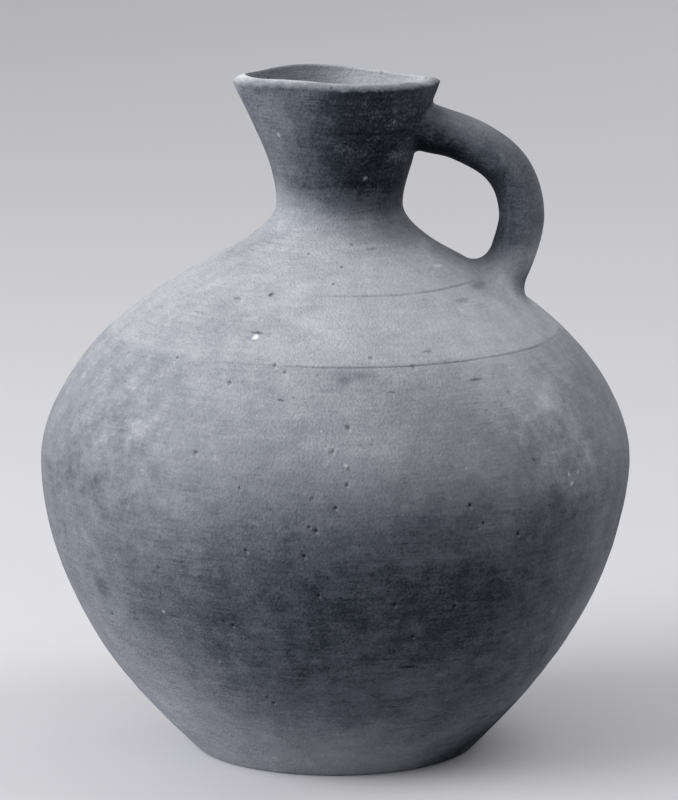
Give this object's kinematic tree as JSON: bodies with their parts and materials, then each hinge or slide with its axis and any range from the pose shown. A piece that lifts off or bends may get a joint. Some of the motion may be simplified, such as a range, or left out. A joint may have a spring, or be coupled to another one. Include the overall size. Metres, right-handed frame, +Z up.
{
  "type": "earthenware jug",
  "caption": "Unglazed round-bellied jug with a narrow throat, flared pinched mouth and loop handle, for holding and pouring liquid.",
  "frame": {"origin": "middle of the flat face that the jug stands on", "axes": "+Z up along the pot's axis, +X towards the handle, -X towards the spout"},
  "size_m": [0.217, 0.217, 0.2517],
  "materials": {
    "body_clay": "unglazed, wiped smooth, faintly burnished",
    "neck_clay": "unglazed, smoke-darkened, wiped smooth",
    "lute_clay": "unglazed, thumbed rough"
  },
  "bodies": {
    "root": {"base_disc": "body_clay", "lower_body": "body_clay", "upper_body": "body_clay", "neck": "neck_clay", "handle": "neck_clay", "handle_top_lute": "neck_clay", "handle_foot_lute": "neck_clay", "belly_lute": "lute_clay", "neck_lute": "lute_clay", "base_lute": "lute_clay"}
  },
  "joints": []
}
